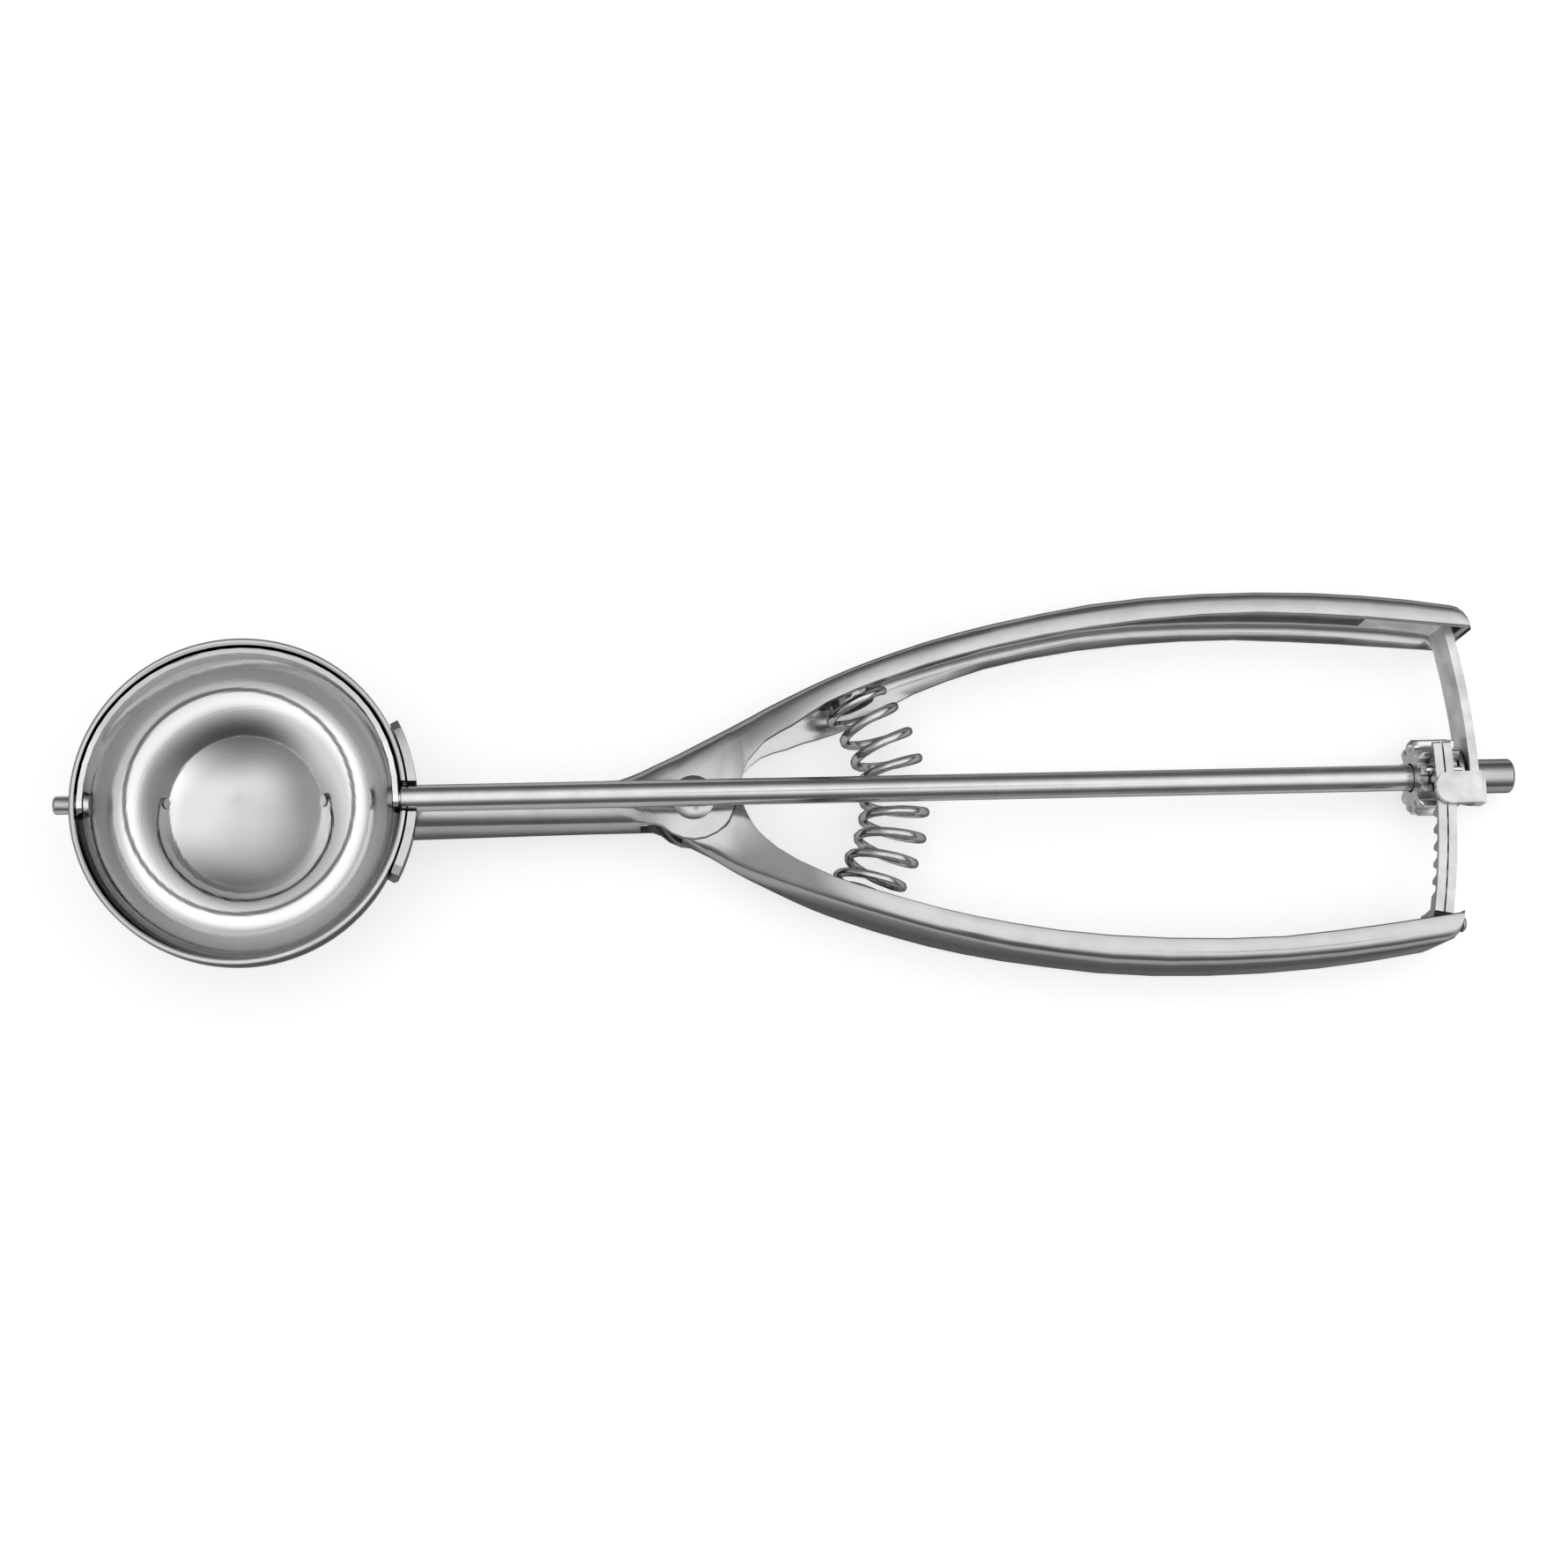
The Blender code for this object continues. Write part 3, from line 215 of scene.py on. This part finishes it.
clouded = lines.nodes.new("ShaderNodeMapRange")
clouded.inputs["From Min"].default_value = 0.3
clouded.inputs["From Max"].default_value = 0.7
lines.links.new(cloudy.outputs["Fac"], clouded.inputs["Value"])
lines.links.new(group_in.outputs["Darkest"], clouded.inputs["To Min"])
lines.links.new(group_in.outputs["Lightest"], clouded.inputs["To Max"])
lines.links.new(clouded.outputs["Result"], group_out.inputs["Tone"])


def steel(name, tone, stretch, roughness, depth, edge=0.2):
    """Stainless steel with polishing lines. Tone and roughness are pairs, the least and the most.

    Stretch is how many lines cross a metre along each axis, depth is how deep they are, and edge is
    how light the steel's mirror image stays at a glancing angle.
    """
    material = bpy.data.materials.new(name)
    material.use_nodes = True
    tree = material.node_tree
    shader = tree.nodes["Principled BSDF"]
    shader.inputs["Metallic"].default_value = 1.0
    shader.inputs["Specular Tint"].default_value = (edge, edge, edge, 1)
    place = tree.nodes.new("ShaderNodeTexCoord")
    effect = tree.nodes.new("ShaderNodeGroup")
    effect.node_tree = lines
    effect.inputs["Stretch"].default_value = stretch
    effect.inputs["Smoothest"].default_value, effect.inputs["Roughest"].default_value = roughness
    effect.inputs["Darkest"].default_value, effect.inputs["Lightest"].default_value = tone
    bump = tree.nodes.new("ShaderNodeBump")
    bump.inputs["Distance"].default_value = depth
    bump.inputs["Strength"].default_value = 1.0
    tree.links.new(place.outputs["Object"], effect.inputs["Vector"])
    tree.links.new(effect.outputs["Tone"], shader.inputs["Base Color"])
    tree.links.new(effect.outputs["Roughness"], shader.inputs["Roughness"])
    tree.links.new(effect.outputs["Height"], bump.inputs["Height"])
    tree.links.new(bump.outputs["Normal"], shader.inputs["Normal"])
    return material


def dress(name, material, broken_edge=0.00012, smooth_angle=35):
    """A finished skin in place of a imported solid: welded, smooth shaded, with its edges broken."""
    weld = 0.000002
    flat = math.radians(0.4)
    bm = bmesh.new()
    bm.from_mesh(nodes[name].data)
    bmesh.ops.remove_doubles(bm, verts=bm.verts, dist=weld)
    bmesh.ops.dissolve_limit(bm, angle_limit=flat, verts=bm.verts, edges=bm.edges)
    mesh = bpy.data.meshes.new(name + "_skin")
    bm.to_mesh(mesh)
    bm.free()
    mesh.shade_smooth()
    mesh.set_sharp_from_angle(angle=math.radians(smooth_angle))
    mesh.materials.append(material)
    skin = bpy.data.objects.new(name + "_skin", mesh)
    bpy.context.scene.collection.objects.link(skin)
    if broken_edge:
        edge = skin.modifiers.new("broken_edge", "BEVEL")
        edge.width = broken_edge
        edge.segments = 2
        edge.limit_method = "ANGLE"
        edge.angle_limit = math.radians(smooth_angle)
        edge.harden_normals = True
        edge.use_clamp_overlap = True
    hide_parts(name)
    return skin


def set_shape(piece):
    """Keeps the piece's present shape as its own mesh."""
    bpy.context.view_layer.update()
    final = bpy.data.meshes.new_from_object(piece.evaluated_get(bpy.context.evaluated_depsgraph_get()))
    piece.modifiers.clear()
    piece.data = final
    return final


def blend_press_lines(piece, along=0.0025, across=0.0012, widest_turn=24, grip_start=0.03):
    """Shades a stamping's flat and ramped plates into each other, as a press leaves them.

    Along and across are how far the shading spreads and widest_turn is the sharpest bend that it
    crosses. Only what lies before grip_start, around the pivot, is changed.
    """
    mesh = set_shape(piece)
    corners = np.empty(len(mesh.loops), int)
    mesh.loops.foreach_get("vertex_index", corners)
    points = np.empty(len(mesh.vertices) * 3)
    mesh.vertices.foreach_get("co", points)
    points = points.reshape(-1, 3)[corners]
    normals = np.empty(len(mesh.loops) * 3)
    mesh.corner_normals.foreach_get("vector", normals)
    normals = normals.reshape(-1, 3)
    weight = np.concatenate([np.full(face.loop_total, face.area / face.loop_total)
                             for face in mesh.polygons])
    scaled = points / (along, across, across)
    alike = math.cos(math.radians(widest_turn))
    blended = normals.copy()
    for i in np.flatnonzero(points[:, 0] < grip_start):
        apart = ((scaled - scaled[i]) ** 2).sum(axis=1)
        share = weight * np.exp(-apart / 2) * (normals @ normals[i] > alike)
        blended[i] = share @ normals
    blended /= np.linalg.norm(blended, axis=1)[:, None]
    mesh.normals_split_custom_set(blended.tolist())


polished_steel = steel("polished_steel", tone=(0.57, 0.63), stretch=(60, 1500, 1500),
                       roughness=(0.14, 0.22), depth=0.000003)
for name in ("fixed_handle", "moving_handle"):
    handle = dress(name, polished_steel)
    blend_press_lines(handle)
    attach(handle, body_of[name])

# Rivets
# Steel rivets, headed on both sides. One is the pivot that joins the ears and the lever's cheeks, and
# two hold the rack plates to the lever's end wall.
for name in ("pivot_rivet", "rack_rivet_front", "rack_rivet_rear"):
    rivet = dress(name, polished_steel)
    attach(rivet, body_of[name])

# Bowl saddle
# A curved plate of polished sheet, pressed to the bowl's round and notched for the shaft. It joins the
# bowl to the end of the fixed handle's shank.
saddle = dress("bowl_saddle", polished_steel)
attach(saddle, body_of["bowl_saddle"])

# Bowl
# A half ball spun from stainless sheet, with a short straight lip, mirror polished inside and plainer
# outside. It is notched for the shaft and drilled for the blade's pin.
wall = 0.00095
lip = 0.0025
edge_round = 0.0003
low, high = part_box("bowl")
radius = (high[1] - low[1]) / 2
inner = radius - wall
shaft = Vector(next(joint["axis"] for joint in behaviour["joints"] if joint["name"] == "sweep"))
tilt = Matrix.Rotation(math.atan2(-shaft.z, shaft.x), 4, "Y")
bowl_place = Matrix.Translation((low[0] + radius, 0, low[2] + radius)) @ tilt

# The section through the wall, from the middle of the inside over the rim to the middle of the outside.
quarter = [math.radians(degrees) for degrees in range(0, 91, 3)]
rounding = edge_round * 0.3
profile = [(inner * math.sin(angle), -inner * math.cos(angle)) for angle in quarter]
profile += [(inner, lip * 0.5), (inner, lip - edge_round), (inner + rounding, lip - rounding)]
profile += [(inner + edge_round, lip), (radius - edge_round, lip)]
profile += [(radius - rounding, lip - rounding), (radius, lip - edge_round), (radius, lip * 0.5)]
profile += [(radius * math.cos(angle), -radius * math.sin(angle)) for angle in quarter]
section = bpy.data.meshes.new("bowl_shell")
section.from_pydata([(r, 0, z) for r, z in profile], [(i, i + 1) for i in range(len(profile) - 1)], [])
shell = bpy.data.objects.new("bowl_shell", section)
bpy.context.scene.collection.objects.link(shell)
spin = shell.modifiers.new("spin", "SCREW")
spin.steps = spin.render_steps = 128
spin.use_merge_vertices = True
spin.merge_threshold = 0.00001

# The notch for the shaft, round at its bottom and open at the rim, and the hole for the blade's pin.
notch_half_width = 0.0027
notch_top = 0.008
notch_reach = 0.004
pin_hole_radius = 0.0019
pin_hole_depth = 0.006
half_turn = [math.pi * i / 16 for i in range(17)]
notch = [(-notch_half_width, notch_top)]
notch += [(-notch_half_width * math.cos(angle), -notch_half_width * math.sin(angle)) for angle in half_turn]
notch += [(notch_half_width, notch_top)]
bm = bmesh.new()
front, back = [[bm.verts.new((x, y, z)) for y, z in notch]
               for x in (radius - notch_reach, radius + notch_reach)]
for i in range(len(notch)):
    j = (i + 1) % len(notch)
    bm.faces.new((front[i], front[j], back[j], back[i]))
bm.faces.new(front)
bm.faces.new(back)
pin_place = Matrix.Translation((-radius, 0, 0)) @ Matrix.Rotation(math.pi / 2, 4, "Y")
bmesh.ops.create_cone(bm, cap_ends=True, segments=24, radius1=pin_hole_radius, radius2=pin_hole_radius,
                      depth=pin_hole_depth, matrix=pin_place)
bmesh.ops.recalc_face_normals(bm, faces=bm.faces)
cut_mesh = bpy.data.meshes.new("bowl_cuts")
bm.to_mesh(cut_mesh)
bm.free()
cuts = bpy.data.objects.new("bowl_cuts", cut_mesh)
bpy.context.scene.collection.objects.link(cuts)
cut = shell.modifiers.new("cuts", "BOOLEAN")
cut.operation = "DIFFERENCE"
cut.solver = "EXACT"
cut.object = cuts
bowl_mesh = set_shape(shell)
bpy.data.objects.remove(cuts)
bowl_mesh.transform(bowl_place)
bowl_mesh.shade_smooth()
bowl_mesh.set_sharp_from_angle(angle=math.radians(40))

# The mirror finish. Fine rings from the spinning run round the middle, which is buffed less than the walls,
# and the steel's
# colour holds painted reflections: a bright ring halfway up the wall, greyer in the middle and towards the
# rim. All of it is set by the distance from the middle.
rings_in_a_metre = 1800
ring_height = 0.0000025
past_rim = 1.5 * inner
dull_until = 0.12 * inner
mirror_from = 0.5 * inner
mirror = bpy.data.materials.new("spun_mirror_steel")
mirror.use_nodes = True
tree = mirror.node_tree
shader = tree.nodes["Principled BSDF"]
shader.inputs["Metallic"].default_value = 1.0
place = tree.nodes.new("ShaderNodeTexCoord")
from_middle = tree.nodes.new("ShaderNodeVectorMath")
from_middle.operation = "DISTANCE"
from_middle.inputs[1].default_value = bowl_place @ Vector((0, 0, -inner))
tree.links.new(place.outputs["Object"], from_middle.inputs[0])
rings = tree.nodes.new("ShaderNodeTexNoise")
rings.noise_dimensions = "1D"
rings.inputs["Scale"].default_value = rings_in_a_metre
rings.inputs["Detail"].default_value = 2
tree.links.new(from_middle.outputs["Value"], rings.inputs["W"])
bump = tree.nodes.new("ShaderNodeBump")
bump.inputs["Distance"].default_value = ring_height
tree.links.new(rings.outputs["Fac"], bump.inputs["Height"])
tree.links.new(bump.outputs["Normal"], shader.inputs["Normal"])
height = tree.nodes.new("ShaderNodeMapRange")
height.inputs["From Max"].default_value = past_rim
tree.links.new(from_middle.outputs["Value"], height.inputs["Value"])
# Painted reflection in the base colour: a bright band halfway up the wall and greyer steel in the middle
# and towards the rim.
painted_reflection_bands = tree.nodes.new("ShaderNodeValToRGB")
painted_reflection_bands.color_ramp.interpolation = "EASE"
painted_reflection_bands.color_ramp.elements[0].position = 0.33
painted_reflection_bands.color_ramp.elements[0].color = (0.68, 0.68, 0.685, 1)
painted_reflection_bands.color_ramp.elements[1].position = 0.9
painted_reflection_bands.color_ramp.elements[1].color = (0.52, 0.52, 0.525, 1)
for position, grey in ((0.44, 0.94), (0.56, 0.94), (0.71, 0.62)):
    painted_reflection_bands.color_ramp.elements.new(position).color = (grey, grey, grey, 1)
tree.links.new(height.outputs["Result"], painted_reflection_bands.inputs["Fac"])
tree.links.new(painted_reflection_bands.outputs["Color"], shader.inputs["Base Color"])
buffed = tree.nodes.new("ShaderNodeMapRange")
buffed.interpolation_type = "SMOOTHSTEP"
buffed.inputs["From Min"].default_value = dull_until
buffed.inputs["From Max"].default_value = mirror_from
buffed.inputs["To Min"].default_value = 0.36
buffed.inputs["To Max"].default_value = 0.02
tree.links.new(from_middle.outputs["Value"], buffed.inputs["Value"])
ringed = tree.nodes.new("ShaderNodeMath")
ringed.operation = "MULTIPLY_ADD"
ringed.inputs[1].default_value = 0.04
tree.links.new(rings.outputs["Fac"], ringed.inputs[0])
tree.links.new(buffed.outputs["Result"], ringed.inputs[2])
tree.links.new(ringed.outputs["Value"], shader.inputs["Roughness"])
outside = steel("bowl_outside_steel", tone=(0.58, 0.64), stretch=(400, 400, 1500),
                roughness=(0.08, 0.14), depth=0.000002)
bowl_mesh.materials.clear()
bowl_mesh.materials.append(mirror)
bowl_mesh.materials.append(outside)
for face in bowl_mesh.polygons:
    outward = face.normal.dot(face.center - bowl_place.translation)
    face.material_index = 1 if outward > 0 else 0
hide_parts("bowl")
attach(shell, body_of["bowl"])

# Racks
# Two toothed plates of rolled steel, side by side, blanked in one curve about the pivot. They are
# riveted to the lever and drive the pinion.
rolled_steel = steel("rolled_steel", tone=(0.6, 0.78), stretch=(300, 1400, 300),
                     roughness=(0.2, 0.32), depth=0.000004, edge=0.3)
for name in ("rack_front", "rack_rear"):
    rack = dress(name, rolled_steel, broken_edge=0.0002)
    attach(rack, body_of[name])

# Bearing strip
# A bent strip of light steel inside the fixed handle's nose. It carries the rear end of the shaft, and
# its folded tab keeps the racks in mesh.
strip_steel = steel("strip_steel", tone=(0.6, 0.9), stretch=(500, 300, 500),
                    roughness=(0.26, 0.42), depth=0.000003, edge=0.8)
strip = dress("bearing_strip", strip_steel, broken_edge=0.00045)
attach(strip, body_of["bearing_strip"])

# Shaft rod, thrust washer and scraper pin
# Round pieces turned from bright bar, with fine rings around them. The rod runs in the bowl and the
# strip, the washer sits behind the pinion, and the pin holds the blade's far tab.
turned_steel = steel("turned_steel", tone=(0.68, 0.76), stretch=(2500, 60, 60),
                     roughness=(0.12, 0.2), depth=0.000004, edge=0.45)
for name in ("shaft_rod", "thrust_washer", "scraper_pin"):
    turned = dress(name, turned_steel)
    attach(turned, body_of[name])

# Pinion
# A small gear with twelve teeth, which the racks turn. It is cut from steel bar and pressed onto the
# shaft, and its flanks are lighter and a little rougher than the rod.
cut_steel = steel("cut_steel", tone=(0.8, 0.9), stretch=(200, 900, 900),
                  roughness=(0.2, 0.3), depth=0.000003, edge=0.5)
pinion = dress("pinion", cut_steel, broken_edge=0.0002)
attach(pinion, body_of["pinion"])

# Rear collar
# A turned sleeve of darker steel, fixed on the shaft's rear end behind the bearing strip. It keeps the
# shaft from sliding forwards.
collar_steel = steel("collar_steel", tone=(0.46, 0.54), stretch=(2800, 60, 60),
                     roughness=(0.14, 0.24), depth=0.000006)
collar = dress("rear_collar", collar_steel)
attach(collar, body_of["rear_collar"])

# Scraper blade
# A thin bright steel strap, bent to the bowl's inside, which frees the ice cream. It has a round tab at
# each end, one held on the shaft's tip and the other on the pin.
strap_steel = steel("strap_steel", tone=(0.8, 0.88), stretch=(300, 300, 300),
                    roughness=(0.08, 0.14), depth=0.000002, edge=1.0)
blade = dress("scraper_blade", strap_steel)
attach(blade, body_of["scraper_blade"])

# Spring seats
# Two short steel studs, one fixed in the channel of each handle. The ends of the return spring sit
# on them.
for name in ("spring_seat_upper", "spring_seat_lower"):
    seat = dress(name, polished_steel)
    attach(seat, body_of[name])

# Return spring
# An open coil of round spring wire, held by its ends on the two seats, which pushes the handles apart. Its
# wire is smoothed once and its shape is kept fixed where it stands, with its last turns on the seats.
wire_steel = steel("wire_steel", tone=(0.62, 0.72), stretch=(300, 300, 300),
                   roughness=(0.1, 0.18), depth=0.000003)
spring = dress("return_spring", wire_steel, broken_edge=0, smooth_angle=80)
round_wire = spring.modifiers.new("round_wire", "SUBSURF")
round_wire.levels = round_wire.render_levels = 1
set_shape(spring)
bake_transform(spring)
